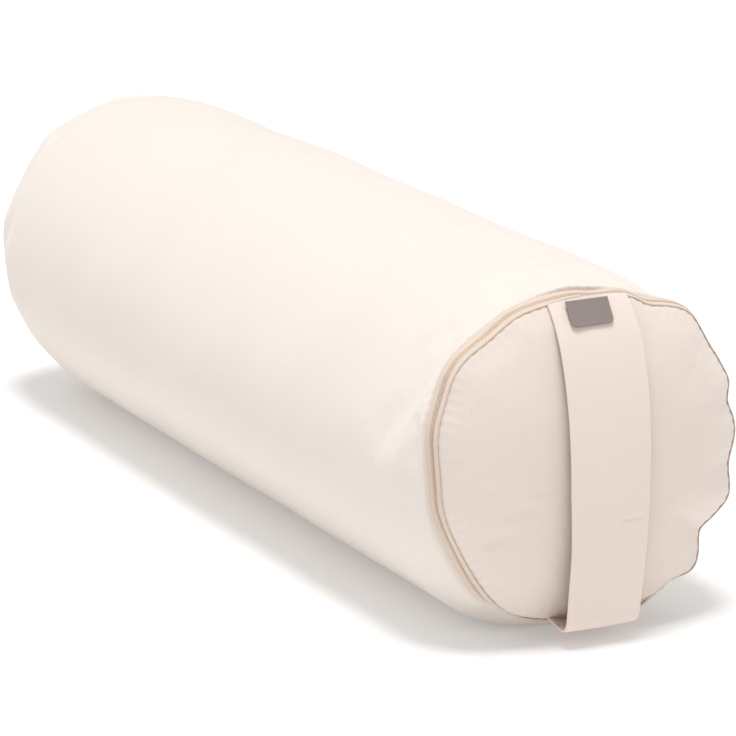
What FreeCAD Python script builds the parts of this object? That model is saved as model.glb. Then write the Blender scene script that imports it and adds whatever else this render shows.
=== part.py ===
"""Round bolster pillow lying on its side: a zipped cotton cover with a carrying strap on one
end, over a filled inner cushion.

Frame: +X runs along the bolster to the strap and zip end, +Y is across it, +Z is up, and the
origin is on the floor under the middle.
"""
import FreeCAD, Part
import math
import os
import re

import Sketcher
from FreeCAD import Placement, Rotation, Vector

SIZES = {
    # the stuffed tube, which lies on a flattened strip
    "tube_radius": 110.0,
    "tube_height": 101.2,       # the tube's axis above the floor
    "rim_radius": 101.0,        # at both end seams
    "rim_height": 108.7,        # the end seams' axis above the floor
    "rim_plane": 324.5,         # the end panels' seams, each way from the middle
    "shoulder": 46.0,           # length over which the tube draws in to a rim
    "cloth": 1.5,               # cover cloth with its lining
    "liner": 1.0,               # cloth of the inner cushion
    "loose": 2.0,               # slack between the cover and the inner cushion
    "filling_gap": 0.3,
    "rear_crown": 32.0,         # how far the rear end bulges past its seam
    "front_crown": 18.0,        # the front end panel's bulge
    "liner_front_crown": 20.0,
    "liner_rear_crown": 28.5,
    "seam_allowance": 10.0,
    "seam_gap": 0.3,
    "seam_layer": 1.1,
    # the zip, a band between the tube and the front end panel
    "band_width": 10.0,
    "band_cloth": 0.6,
    "coil_width": 2.05,
    "coil_height": 1.6,
    "coil_gap": 0.1,
    "hinge_half_angle": 25.0,   # the sewn part of the rim, each side of its lowest point
    "band_end_gap": 0.3,        # degrees
    "stop_angle": 0.9,          # degrees
    "coil_start": 29.0,         # degrees from the rim's lowest point
    "slider_angle": 31.2,       # where the slider stands when the zip is closed
    "slider_length": 15.6,
    "slider_width": 8.4,
    "slider_plate": 1.2,
    "slider_clear": 0.2,
    "slider_lip": 1.0,
    "slider_wedge": 1.8,
    "slider_wedge_length": 2.6,
    "pin_radius": 0.6,
    "pin_lift": 1.5,            # the pull's pin above the slider's top plate
    "pin_clear": 0.06,
    "lug_width": 1.2,
    "lug_gap": 3.4,
    "lug_wall": 0.2,
    "eye_radius": 1.3,
    "pull_length": 19.0,
    "pull_width": 5.6,
    "pull_neck": 3.0,
    "pull_thickness": 1.2,
    "pull_slot_width": 2.4,
    "pull_slot_length": 7.0,
    "pull_end": 2.0,            # metal between the pull's slot and its free end
    "pull_lap": 3.0,            # how far the pull's blade reaches back over the slider
    "pull_joint": 1.0,
    # the carrying strap and the labels
    "strap_width": 52.0,
    "strap_middle": -2.0,       # the strap's centre line, off the middle of the panel
    "strap_thickness": 2.2,
    "strap_crown": 32.0,        # its outer face past the end panel's seam
    "strap_crown_height": 105.7,
    "strap_start": 1.8,         # its inner face past the seam at both sewn ends
    "strap_top": 4.2,           # its upper end below the rim's highest point
    "strap_foot": 22.0,         # its inner face past the seam where the foot's fold begins
    "strap_foot_height": 18.0,
    "fold_out": 10.0,           # the lowest place of the fold, past the seam
    "fold_height": 8.4,         # its upper face above the floor
    "fold_radius": 11.0,
    "foot_end_out": 0.6,
    "foot_end_height": 9.4,
    "label_width": 28.0,
    "label_middle": -5.5,
    "label_out": 5.2,           # its sewn edge past the end panel's seam
    "label_top": 4.7,           # its sewn edge below the rim's highest point
    "label_drop": 16.0,
    "label_thickness": 0.7,
    "label_lean": 31.0,         # degrees from upright
    "care_label_width": 22.0,
    "care_label_length": 34.0,
    "care_label_thickness": 0.6,
    "fold_gap": 0.3,            # each side of the end panel's fold line
}

doc = FreeCAD.newDocument("bolster_pillow")
sheet = doc.addObject("Spreadsheet::Sheet", "Sizes")
for row, (alias, size) in enumerate(SIZES.items(), start=1):
    sheet.set("A%d" % row, alias)
    sheet.set("B%d" % row, str(size))
    sheet.setAlias("B%d" % row, alias)
doc.recompute()

NODES = []
SAME_POINT = 1e-6


def bound(text):
    """An expression in which every driving dimension is read from the sheet."""
    return re.sub(r"[a-z_]+", lambda word: "Sizes." + word[0] if word[0] in SIZES else word[0], text)


def value(text):
    """The same expression as a number, for a sketch's first guess."""
    return float(sheet.evalExpression(bound(text)))


def named(item, label):
    """Gives a sub-part its label, which is also its file's name."""
    item.Label = label
    NODES.append(item)
    return item


def origin_plane(body, role):
    return next(item for item in body.Origin.OriginFeatures if item.Role == role)


def profile_sketch(body, name, corners, arcs=None, role="XZ_Plane"):
    """A closed outline on one of the body's origin planes.

    corners are pairs of expressions; arcs gives the radius of an edge that is an arc, by the
    index of its first corner, positive where the arc bulges to the right of its direction.
    """
    arcs = arcs or {}
    sketch = body.newObject("Sketcher::SketchObject", name)
    sketch.AttachmentSupport = [(origin_plane(body, role), "")]
    sketch.MapMode = "FlatFace"
    points = [Vector(value(first), value(second), 0) for first, second in corners]
    count = len(points)
    starts = []
    for index, start in enumerate(points):
        end = points[(index + 1) % count]
        if index in arcs:
            starts.append(add_arc(sketch, start, end, value(arcs[index])))
        else:
            starts.append((sketch.addGeometry(Part.LineSegment(start, end), False), 1, 2))
    for index, (edge, _, finish) in enumerate(starts):
        following, its_begin, _ = starts[(index + 1) % count]
        sketch.addConstraint(Sketcher.Constraint("Coincident", edge, finish, following, its_begin))
    for index, (first, second) in enumerate(corners):
        edge, begin, _ = starts[index]
        point = points[index]
        for kind, text, start in (("DistanceX", first, point.x), ("DistanceY", second, point.y)):
            number = sketch.addConstraint(Sketcher.Constraint(kind, -1, 1, edge, begin, start))
            sketch.setExpression("Constraints[%d]" % number, bound(text))
    for index, text in arcs.items():
        number = sketch.addConstraint(Sketcher.Constraint("Radius", starts[index][0], abs(value(text))))
        sketch.setExpression("Constraints[%d]" % number, "abs(%s)" % bound(text))
    return sketch


def add_arc(sketch, start, end, radius):
    """An arc from start to end; returns its geometry and which ends are start and end."""
    chord = end - start
    middle = (start + end) * 0.5
    right = Vector(chord.y, -chord.x, 0).normalize()
    rise = abs(radius) - math.sqrt(radius ** 2 - (chord.Length / 2) ** 2)
    top = middle + right * math.copysign(rise, radius)
    arc = Part.Arc(start, top, end)
    edge = sketch.addGeometry(arc, False)
    begins_at_start = sketch.getPoint(edge, 1).distanceToPoint(start) < SAME_POINT
    return (edge, 1, 2) if begins_at_start else (edge, 2, 1)


def turned(label, corners, arcs=None, angle="360", at_angle="180"):
    """A body turned about the rims' axis, centred at_angle degrees round from the lowest point."""
    body = doc.addObject("PartDesign::Body", label)
    sketch = profile_sketch(body, label + "_profile", corners, arcs)
    turn = body.newObject("PartDesign::Revolution", label + "_turn")
    turn.Profile = sketch
    turn.ReferenceAxis = (sketch, ["H_Axis"])
    turn.Midplane = True
    turn.setExpression("Angle", bound(angle))
    set_round_rim(body, at_angle)
    return body


def set_round_rim(body, at_angle):
    """Lifts a body built about the X axis to the rims' axis and turns its top to at_angle."""
    body.Placement = Placement(Vector(0, 0, 1), Rotation(Vector(1, 0, 0), 1))
    body.setExpression("Placement.Base.z", bound("rim_height"))
    body.setExpression("Placement.Rotation.Angle", bound("(%s) - 180" % at_angle))


def box(name, low, high):
    """A plain block between two corners, used only to trim other shapes."""
    block = doc.addObject("Part::Box", name)
    for size, place, start, end in zip(("Length", "Width", "Height"), "xyz", low, high):
        block.setExpression(size, bound("(%s) - (%s)" % (end, start)))
        block.setExpression("Placement.Base." + place, bound(start))
    return block


def boolean(kind, name, base, tool):
    result = doc.addObject("Part::" + kind, name)
    result.Base = base
    result.Tool = tool
    return result


SHOULDER_STEPS = (1.0, 0.85, 0.6, 0.35, 0.15, 0.0)
FAR = "2 * rim_plane"


def section(name, x_text, drawn_in, inset):
    """One round section of the tube; drawn_in is 0 at full girth and 1 at a rim."""
    ring = doc.addObject("Part::Circle", name)
    ring.Placement = Placement(Vector(1, 0, 1), Rotation(Vector(0, 1, 0), 90))
    ring.setExpression("Placement.Base.x", bound(x_text))
    ring.setExpression(
        "Placement.Base.z", bound("tube_height + %g * (rim_height - tube_height)" % drawn_in))
    ring.setExpression(
        "Radius", bound("tube_radius - %g * (tube_radius - rim_radius) - (%s)" % (drawn_in, inset)))
    return ring


def tube(name, inset):
    """The solid inside the tube's surface, inset all round, with its resting strip flattened."""
    rings = []
    for sign in (-1, 1):
        steps = SHOULDER_STEPS if sign < 0 else reversed(SHOULDER_STEPS)
        front_end = "band_width * %d" % (sign > 0)
        for step in steps:
            place = "%d * (rim_plane - %s - (shoulder - %s) * %g)" % (sign, front_end, front_end, 1 - step)
            rings.append(section("%s_ring_%d" % (name, len(rings)), place, step ** 2, inset))
    loft = doc.addObject("Part::Loft", name + "_loft")
    loft.Sections = rings
    loft.Solid = True
    loft.Ruled = True
    floor = box(name + "_floor", ("-" + FAR, "-" + FAR, "-" + FAR), (FAR, FAR, inset))
    return boolean("Cut", name + "_solid", loft, floor)


def tube_layer(label, outer, inner, window=None):
    """A layer of cloth round the tube between two insets, or the part of it in a window."""
    outside = tube(label + "_outside", outer)
    layer = boolean("Cut", label + "_layer", outside, tube(label + "_inside", inner))
    if window is None:
        return layer
    return boolean("Common", label + "_piece", layer, box(label + "_window", *window))


def dome_radius(radius, crown):
    """The ball of which a dome of this rim radius and height is a part."""
    return "((%s)^2 + (%s)^2) / (2 * (%s))" % (radius, crown, crown)


def cap(label, plane, radius, crown, thickness, sign):
    """A domed disc of cloth across a rim; sign is +1 at the front end and -1 at the rear."""
    edge = "%d * (%s)" % (sign, plane)
    inner_radius = "(%s) - (%s)" % (radius, thickness)
    inner_crown = "(%s) - (%s)" % (crown, thickness)
    corners = (
        (edge, inner_radius),
        (edge, radius),
        ("%d * ((%s) + (%s))" % (sign, plane, crown), "0"),
        ("%d * ((%s) + %s)" % (sign, plane, inner_crown), "0"),
    )
    arcs = {
        1: "%d * (%s)" % (-sign, dome_radius(radius, crown)),
        3: "%d * (%s)" % (sign, dome_radius(inner_radius, inner_crown)),
    }
    return turned(label, corners, arcs)


def make_cover():
    named(tube_layer("cover_tube", "0", "cloth"), "cover_tube")
    named(cap("rear_end_panel", "rim_plane", "rim_radius", "rear_crown", "cloth", -1), "rear_end_panel")

    fold = "rim_height - rim_radius * cos(hinge_half_angle)"
    for label, low, high in (
        ("end_panel", fold + " + fold_gap", FAR),
        ("end_panel_sewn_edge", "-" + FAR, fold + " - fold_gap"),
    ):
        dome = cap(label + "_dome", "rim_plane", "rim_radius - band_cloth / 2", "front_crown", "cloth", 1)
        side = box(label + "_side", ("-" + FAR, "-" + FAR, low), (FAR, FAR, high))
        named(boolean("Common", label, dome, side), label)


def make_seams():
    """The turned-in edges of the tube's cloth, inside the cover."""
    outer = "cloth + seam_gap"
    inner = outer + " + seam_layer"
    rear = ("-rim_plane + seam_gap", "-rim_plane + seam_allowance")
    front = ("rim_plane - band_width - seam_allowance", "rim_plane - band_width - seam_gap")
    straight = ("shoulder - rim_plane", "rim_plane - shoulder")
    everywhere = ("-" + FAR, FAR)
    beside = ("tube_height - seam_allowance / 2", "tube_height + seam_allowance / 2")
    for label, along, across, up in (
        ("rear_seam_allowance", rear, everywhere, everywhere),
        ("front_seam_allowance", front, everywhere, everywhere),
        ("tube_seam_allowance", straight, ("0", FAR), beside),
    ):
        low, high = zip(along, across, up)
        named(tube_layer(label, outer, inner, (low, high)), label)


def make_inner_cushion():
    outer = "cloth + loose"
    named(tube_layer("inner_casing_tube", outer, outer + " + liner"), "inner_casing_tube")
    radius = "rim_radius - (%s)" % outer
    discs = (
        ("inner_casing_front_disc", "rim_plane - band_width", "liner_front_crown", 1),
        ("inner_casing_rear_disc", "rim_plane", "liner_rear_crown", -1),
    )
    for label, plane, crown, sign in discs:
        named(cap(label, plane, radius, crown, "liner", sign), label)

    inset = outer + " + liner + filling_gap"
    core = tube("filling_core", inset)
    fill_radius = "rim_radius - (%s)" % inset
    for name, plane, crown, sign in (
        ("filling_front", "rim_plane - band_width", "liner_front_crown", 1),
        ("filling_rear", "rim_plane", "liner_rear_crown", -1),
    ):
        depth = "(%s) - liner - 2 * filling_gap" % crown
        corners = (
            ("%d * (%s)" % (sign, plane), "0"),
            ("%d * (%s)" % (sign, plane), fill_radius),
            ("%d * ((%s) + (%s))" % (sign, plane, depth), "0"),
        )
        dome = turned(name, corners, {1: "%d * (%s)" % (-sign, dome_radius(fill_radius, depth))})
        core = boolean("Fuse", name + "_joined", core, dome)
    named(core, "filling")


BAND_TUBE_SIDE = "rim_plane - band_width"
BAND_MIDDLE = "rim_plane - band_width / 2"


def ring_profile(start, end, height):
    """A flat ring's section, from start to end along X, centred on the rim's radius."""
    low = "rim_radius - (%s) / 2" % height
    high = "rim_radius + (%s) / 2" % height
    return ((start, low), (start, high), (end, high), (end, low))


def make_zip():
    tape_angle = "360 - 2 * (hinge_half_angle + band_end_gap)"
    coil_angle = "360 - 2 * coil_start"
    tube_coil = (BAND_MIDDLE + " - coil_gap / 2 - coil_width", BAND_MIDDLE + " - coil_gap / 2")
    panel_coil = (BAND_MIDDLE + " + coil_gap / 2", BAND_MIDDLE + " + coil_gap / 2 + coil_width")
    pieces = (
        ("zip_tape_tube_side", BAND_TUBE_SIDE, tube_coil[0], "band_cloth", tape_angle),
        ("zip_tape_panel_side", panel_coil[1], "rim_plane", "band_cloth", tape_angle),
        ("zip_coil_tube_side", tube_coil[0], tube_coil[1], "coil_height", coil_angle),
        ("zip_coil_panel_side", panel_coil[0], panel_coil[1], "coil_height", coil_angle),
    )
    for label, start, end, height, angle in pieces:
        named(turned(label, ring_profile(start, end, height), angle=angle), label)
    sewn = ring_profile(BAND_TUBE_SIDE, "rim_plane", "band_cloth")
    named(turned("hinge_band", sewn, angle="2 * hinge_half_angle", at_angle="0"), "hinge_band")

    stop_width = ("%s - coil_width" % BAND_MIDDLE, "%s + coil_width" % BAND_MIDDLE)
    for label, side in (("zip_closed_end_stop", "1"), ("zip_open_end_stop", "-1")):
        middle = "%s * (hinge_half_angle + band_end_gap + stop_angle / 2)" % side
        stop = turned(label, ring_profile(*stop_width, "coil_height"), angle="stop_angle", at_angle=middle)
        named(stop, label)


PLATE_IN = "rim_radius + coil_height / 2 + slider_clear"
PLATE_OUT = PLATE_IN + " + slider_plate"
PIN_AT = PLATE_OUT + " + pin_lift"


def slider_profile():
    """Two plates with lips that close in on the tapes, joined by the wedge between the coils."""
    left = BAND_MIDDLE + " - slider_width / 2"
    right = BAND_MIDDLE + " + slider_width / 2"
    lip = "rim_radius + band_cloth / 2 + slider_clear"
    under = [("2 * rim_radius - (%s)" % text) for text in (lip, PLATE_IN, PLATE_OUT)]
    return (
        ((left, lip), (left, PLATE_OUT), (right, PLATE_OUT), (right, lip),
         (right + " - slider_lip", lip), (right + " - slider_lip", PLATE_IN),
         (left + " + slider_lip", PLATE_IN), (left + " + slider_lip", lip)),
        ((left, under[0]), (left + " + slider_lip", under[0]), (left + " + slider_lip", under[1]),
         (right + " - slider_lip", under[1]), (right + " - slider_lip", under[0]), (right, under[0]),
         (right, under[2]), (left, under[2])),
    )


def block_on(body, name, corners, plane, depth, start):
    """Adds a padded block to a body: corners on a plane, depth thick, from start out."""
    sketch = profile_sketch(body, name + "_outline", corners, role=plane)
    sketch.AttachmentOffset = Placement(Vector(0, 0, 1), Rotation())
    sketch.setExpression("AttachmentOffset.Base.z", bound(start))
    pad = body.newObject("PartDesign::Pad", name)
    pad.Profile = sketch
    pad.setExpression("Length", bound(depth))
    return pad


def make_slider():
    """The slider is built at the top of the rim, then turned round to its closed place."""
    top, under = slider_profile()
    slider_turn = "slider_length / rim_radius * 180 / pi"
    body = doc.addObject("PartDesign::Body", "zip_slider")
    # the wedge stands at the slider's leading end, so the plates are joined from there
    wedge_end = "slider_length / 2"
    half = "slider_wedge / 2"
    wedge = (
        (BAND_MIDDLE + " - " + half, wedge_end + " - slider_wedge_length"),
        (BAND_MIDDLE + " + " + half, wedge_end + " - slider_wedge_length"),
        (BAND_MIDDLE + " + " + half, wedge_end),
        (BAND_MIDDLE + " - " + half, wedge_end),
    )
    plate_low = "2 * rim_radius - (%s)" % PLATE_IN
    sunk = "slider_plate / 2"
    block_on(body, "wedge", wedge, "XY_Plane", "(%s) - (%s) + 2 * %s" % (PLATE_IN, plate_low, sunk),
             "%s - %s" % (plate_low, sunk))
    for name, corners in (("top_plate", top), ("under_plate", under)):
        sketch = profile_sketch(body, name + "_outline", corners)
        turn = body.newObject("PartDesign::Revolution", name)
        turn.Profile = sketch
        turn.ReferenceAxis = (sketch, ["H_Axis"])
        turn.Midplane = True
        turn.setExpression("Angle", bound(slider_turn))
    lug_side = "eye_radius + lug_wall"
    lugs = (
        ("near_lug", BAND_MIDDLE + " - lug_gap / 2 - lug_width"),
        ("far_lug", BAND_MIDDLE + " + lug_gap / 2"),
    )
    for name, start in lugs:
        corners = (
            ("-(%s)" % lug_side, PLATE_OUT + " - " + sunk),
            (lug_side, PLATE_OUT + " - " + sunk),
            (lug_side, PIN_AT + " + pin_radius"),
            ("-(%s)" % lug_side, PIN_AT + " + pin_radius"),
        )
        block_on(body, name, corners, "YZ_Plane", "lug_width", start)
    pin = body.newObject("Sketcher::SketchObject", "pin_outline")
    pin.AttachmentSupport = [(origin_plane(body, "YZ_Plane"), "")]
    pin.MapMode = "FlatFace"
    pin.AttachmentOffset = Placement(Vector(0, 0, 1), Rotation())
    pin.setExpression("AttachmentOffset.Base.z", bound(BAND_MIDDLE + " - lug_gap / 2 - lug_width / 2"))
    add_circle(pin, PIN_AT, "pin_radius")
    bar = body.newObject("PartDesign::Pad", "pin")
    bar.Profile = pin
    bar.setExpression("Length", bound("lug_gap + lug_width"))
    set_round_rim(body, "slider_angle")
    named(body, "zip_slider")


def add_circle(sketch, height, radius):
    """A circle straight above the sketch's origin."""
    circle = sketch.addGeometry(
        Part.Circle(Vector(0, value(height), 0), Vector(0, 0, 1), value(radius)), False)
    sketch.addConstraint(Sketcher.Constraint("PointOnObject", circle, 3, -2))
    number = sketch.addConstraint(Sketcher.Constraint("DistanceY", -1, 1, circle, 3, value(height)))
    sketch.setExpression("Constraints[%d]" % number, bound(height))
    number = sketch.addConstraint(Sketcher.Constraint("Radius", circle, value(radius)))
    sketch.setExpression("Constraints[%d]" % number, bound(radius))


def make_pull():
    """A flat tab with an eye round the slider's pin and a slot near its free end."""
    eye = doc.addObject("Part::Cylinder", "pull_eye")
    bore = doc.addObject("Part::Cylinder", "pull_bore")
    for barrel, radius, start, length in (
        (eye, "eye_radius", "-pull_neck / 2", "pull_neck"),
        (bore, "pin_radius + pin_clear", "-pull_width", "2 * pull_width"),
    ):
        barrel.Placement = Placement(Vector(1, 0, 1), Rotation(Vector(0, 1, 0), 90))
        barrel.setExpression("Radius", bound(radius))
        barrel.setExpression("Height", bound(length))
        barrel.setExpression("Placement.Base.x", bound("%s + %s" % (BAND_MIDDLE, start)))
        barrel.setExpression("Placement.Base.z", bound(PIN_AT))
    low = PIN_AT + " - pull_thickness / 2"
    high = PIN_AT + " + pull_thickness / 2"
    blade_start = "slider_length / 2 - pull_lap"
    neck = box("pull_neck_bar", (BAND_MIDDLE + " - pull_neck / 2", "0", low),
               (BAND_MIDDLE + " + pull_neck / 2", blade_start + " + pull_joint", high))
    blade = box("pull_blade", (BAND_MIDDLE + " - pull_width / 2", blade_start, low),
                (BAND_MIDDLE + " + pull_width / 2", "pull_length", high))
    slot = box("pull_slot", (BAND_MIDDLE + " - pull_slot_width / 2",
                             "pull_length - pull_end - pull_slot_length", low + " - pull_thickness"),
               (BAND_MIDDLE + " + pull_slot_width / 2", "pull_length - pull_end", high + " + pull_thickness"))
    solid = boolean("Fuse", "pull_joined", eye, neck)
    solid = boolean("Fuse", "pull_full", solid, blade)
    solid = boolean("Cut", "pull_bored", solid, bore)
    pull = boolean("Cut", "zip_pull", solid, slot)
    set_round_rim(pull, "slider_angle")
    named(pull, "zip_pull")


def upright_arc(out, along):
    """Radius of an arc that ends upright, out and along from where it starts."""
    return "((%s)^2 + (%s)^2) / (2 * (%s))" % (out, along, out)


def make_strap():
    """The strap hangs slack from the rim's top and folds back under at its foot.

    Its two long arcs meet upright at the crown, and its outer face is the inner one moved out.
    """
    top_z = "rim_height + rim_radius - strap_top"
    end_out = "rim_plane + strap_start + foot_end_out"
    inside = (
        ("rim_plane + strap_start", top_z),
        ("rim_plane + strap_crown - strap_thickness", "strap_crown_height"),
        ("rim_plane + strap_foot", "strap_foot_height"),
        ("rim_plane + fold_out", "fold_height"),
        (end_out, "foot_end_height"),
    )
    outside = (
        (end_out, "foot_end_height - strap_thickness"),
        ("rim_plane + fold_out", "fold_height - strap_thickness"),
        ("rim_plane + strap_foot + strap_thickness", "strap_foot_height"),
        ("rim_plane + strap_crown", "strap_crown_height"),
        ("rim_plane + strap_start + strap_thickness", top_z),
    )
    upper = upright_arc("strap_crown - strap_thickness - strap_start", top_z + " - strap_crown_height")
    lower = upright_arc("strap_crown - strap_thickness - strap_foot", "strap_crown_height - strap_foot_height")
    body = doc.addObject("PartDesign::Body", "handle_strap")
    arcs = {0: "-(%s)" % upper, 1: "-(%s)" % lower, 2: "-fold_radius", 6: "fold_radius + strap_thickness",
            7: lower, 8: upper}
    sketch = profile_sketch(body, "strap_section", inside + outside, arcs)
    pad = body.newObject("PartDesign::Pad", "strap_width")
    pad.Profile = sketch
    pad.Midplane = True
    pad.setExpression("Length", bound("strap_width"))
    body.setExpression("Placement.Base.y", bound("strap_middle"))
    named(body, "handle_strap")


def make_labels():
    label = doc.addObject("Part::Box", "woven_label")
    label.setExpression("Length", bound("label_thickness"))
    label.setExpression("Width", bound("label_width"))
    label.setExpression("Height", bound("label_drop"))
    label.Placement = Placement(Vector(), Rotation(Vector(0, -1, 0), value("label_lean")))
    label.setExpression("Placement.Base.x", bound("rim_plane + label_out + label_drop * sin(label_lean)"))
    label.setExpression("Placement.Base.y", bound("label_middle - label_width / 2"))
    label.setExpression("Placement.Base.z",
                        bound("rim_height + rim_radius - label_top - label_drop * cos(label_lean)"))
    named(label, "woven_label")

    outer = "cloth + (loose - care_label_thickness) / 2"
    low = ("rim_plane - shoulder - care_label_length", "0", "tube_height + 2 * seam_allowance")
    high = ("rim_plane - shoulder", FAR, "tube_height + 2 * seam_allowance + care_label_width")
    named(tube_layer("care_label", outer, outer + " + care_label_thickness", (low, high)), "care_label")


def check_and_write():
    doc.recompute()
    for item in doc.Objects:
        if "Invalid" in item.State or "Error" in item.State:
            raise RuntimeError("%s did not build: %s" % (item.Name, item.State))
    for item in NODES:
        if item.Shape.isNull() or not item.Shape.isValid() or not item.Shape.Solids:
            raise RuntimeError("%s has no valid solid" % item.Label)
    os.makedirs("parts", exist_ok=True)
    for item in NODES:
        item.Shape.exportStep("parts/%s.step" % item.Label)
        bounds = item.Shape.optimalBoundingBox(True)
        print("%-26s %d solid  %9.1f mm3  x %7.1f %7.1f  y %7.1f %7.1f  z %6.1f %6.1f" % (
            item.Label, len(item.Shape.Solids), item.Shape.Volume, bounds.XMin, bounds.XMax,
            bounds.YMin, bounds.YMax, bounds.ZMin, bounds.ZMax))


make_cover()
make_seams()
make_inner_cushion()
make_zip()
make_slider()
make_pull()
make_strap()
make_labels()
check_and_write()
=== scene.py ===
import math

import bpy
import numpy as np
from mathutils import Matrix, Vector


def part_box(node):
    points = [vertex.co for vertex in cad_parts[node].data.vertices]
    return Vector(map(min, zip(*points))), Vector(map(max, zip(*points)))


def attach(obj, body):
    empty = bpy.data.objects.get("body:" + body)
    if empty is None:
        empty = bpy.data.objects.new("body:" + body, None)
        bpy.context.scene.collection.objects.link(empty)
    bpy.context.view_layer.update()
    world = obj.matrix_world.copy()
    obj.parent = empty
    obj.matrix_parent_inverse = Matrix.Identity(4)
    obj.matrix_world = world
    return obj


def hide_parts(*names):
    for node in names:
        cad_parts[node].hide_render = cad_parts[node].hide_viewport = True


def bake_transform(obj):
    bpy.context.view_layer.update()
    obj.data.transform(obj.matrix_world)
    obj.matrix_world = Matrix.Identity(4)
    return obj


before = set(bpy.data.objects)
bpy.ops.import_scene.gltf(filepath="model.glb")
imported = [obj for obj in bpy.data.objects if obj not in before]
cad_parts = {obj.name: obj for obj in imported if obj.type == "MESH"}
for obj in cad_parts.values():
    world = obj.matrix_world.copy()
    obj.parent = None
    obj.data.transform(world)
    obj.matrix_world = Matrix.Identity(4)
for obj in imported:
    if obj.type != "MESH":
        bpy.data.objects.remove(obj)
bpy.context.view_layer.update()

MM = 0.001

# ---------------------------------------------------------------- sizes read from the frame
tube_low, tube_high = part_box("cover_tube")
rear_low, rear_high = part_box("rear_end_panel")
panel_low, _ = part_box("end_panel")
label_low, label_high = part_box("woven_label")
slider_low, slider_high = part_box("zip_slider")

TUBE_RADIUS = (tube_high.y - tube_low.y) / 2
TUBE_HEIGHT = tube_high.z - TUBE_RADIUS
RIM_RADIUS = (rear_high.y - rear_low.y) / 2
RIM_HEIGHT = (rear_high.z + rear_low.z) / 2
REAR = rear_high.x              # the rear seam's plane
REAR_TIP = rear_low.x
BAND = tube_high.x              # where the tube's cloth meets the zip
FRONT = panel_low.x             # where the end panel meets the zip
BAND_MIDDLE = (BAND + FRONT) / 2
CROWN = 0.022                   # how far the end panel domes out, short of the strap
SHOULDER = 0.046                # length over which the tube draws in to the front seam
REAR_SHOULDER = 0.078
REAR_DRAW = 2.5 * MM            # the rear seam is pulled in further than the front one
REAR_RIM_HEIGHT = RIM_HEIGHT - 4.5 * MM     # and sags a little
REAR_SLIM = 2.6 * MM            # the tube's back is a little lower towards the rear
SLIDER_ANGLE = math.atan2((slider_low.y + slider_high.y) / 2,
                          RIM_HEIGHT - (slider_low.z + slider_high.z) / 2)

SEAM_ANGLE = math.radians(100)  # the tube's lengthwise seam, from the lowest point towards +Y

# Waves of the front rim: (degrees from the lowest point towards +Y, height in mm, spread in degrees)
FRONT_WAVES = (
    (-170, -1.2, 6), (-150, 2.7, 6.5), (-126, 8.0, 9.5), (-107, 2.8, 6), (-88, -1.6, 6), (-63, -3.0, 12),
    (-34, 2.2, 8), (43, 9.0, 4.8), (54.5, -3.4, 3.0), (69, 5.4, 4.6), (81, -0.8, 3), (92, 2.0, 4.5),
    (103, -1.6, 3), (110, 2.7, 3.5), (118, 1.5, 4), (128, 0.8, 4), (139, 4.9, 6), (156, -3.2, 4.5),
    (175, -4.0, 7),
)
REAR_WAVES = (
    (180, -1.8, 30), (-165, 1.0, 9), (-140, 1.4, 8), (-118, -0.8, 6), (-96, 1.2, 8), (-70, 1.6, 9),
    (-45, -0.8, 6), (-20, 0.8, 8), (15, 1.0, 9), (38, -0.9, 6), (58, 1.8, 8), (84, 1.2, 7),
    (104, -0.8, 5), (126, 1.8, 9), (150, 1.0, 7),
)


def smooth(t):
    t = np.clip(t, 0.0, 1.0)
    return t * t * (3 - 2 * t)


def turn_gap(angle, centre):
    """The signed angle from centre to angle, in radians, within half a turn."""
    return (angle - centre + math.pi) % (2 * math.pi) - math.pi


def waves(angle, bumps):
    total = np.zeros_like(angle)
    for degrees, height, spread in bumps:
        gap = np.degrees(turn_gap(angle, math.radians(degrees)))
        total += height * MM * np.exp(-0.5 * (gap / spread) ** 2)
    return total


SLIDER_REACH = math.radians(6)  # how far to each side of the slider the waves fade out


def slider_calm(angle):
    """0 where the slider stands at either end of its travel, 1 away from it."""
    calm = np.ones_like(angle)
    for centre in (SLIDER_ANGLE, -SLIDER_ANGLE):
        calm *= 1 - np.exp(-(turn_gap(angle, centre) / SLIDER_REACH) ** 2)
    return calm


TUBE_EDGE_OUT = 0.6 * MM        # the band leans: it is wider at the tube's cloth
PANEL_EDGE_IN = 1.4 * MM
PANEL_OVERHANG = ((28, 4.2, 6.5), (-26, 1.5, 7))    # the end panel's edge hangs over the slider
TUBE_EXTRA = ((-40, 2.2, 13),)                      # and the tube's edge bulges beside the strap


def panel_edge(angle):
    """Radius of the end panel's sewn edge."""
    return RIM_RADIUS + waves(angle, FRONT_WAVES) + waves(angle, PANEL_OVERHANG) - PANEL_EDGE_IN


def tube_edge(angle):
    """Radius of the tube's front edge, calm where the slider stands."""
    out = waves(angle, FRONT_WAVES) + waves(angle, TUBE_EXTRA) + TUBE_EDGE_OUT
    return RIM_RADIUS + slider_calm(angle) * out


def front_rim(angle):
    """Radius of the zip's middle line."""
    middle = (panel_edge(angle) + tube_edge(angle)) / 2 - RIM_RADIUS
    return RIM_RADIUS + slider_calm(angle) * middle


def rear_edge(angle):
    return RIM_RADIUS + waves(angle, REAR_WAVES) - REAR_DRAW


def lay_down(height):
    """Presses everything below the floor up onto it, with a soft edge."""
    soft = 2.2 * MM
    return soft * np.logaddexp(0.0, height / soft)


def around(angle, radius, height):
    """Y and Z at an angle from the lowest point, round an axis at the given height."""
    return radius * np.sin(angle), height - radius * np.cos(angle)


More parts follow.
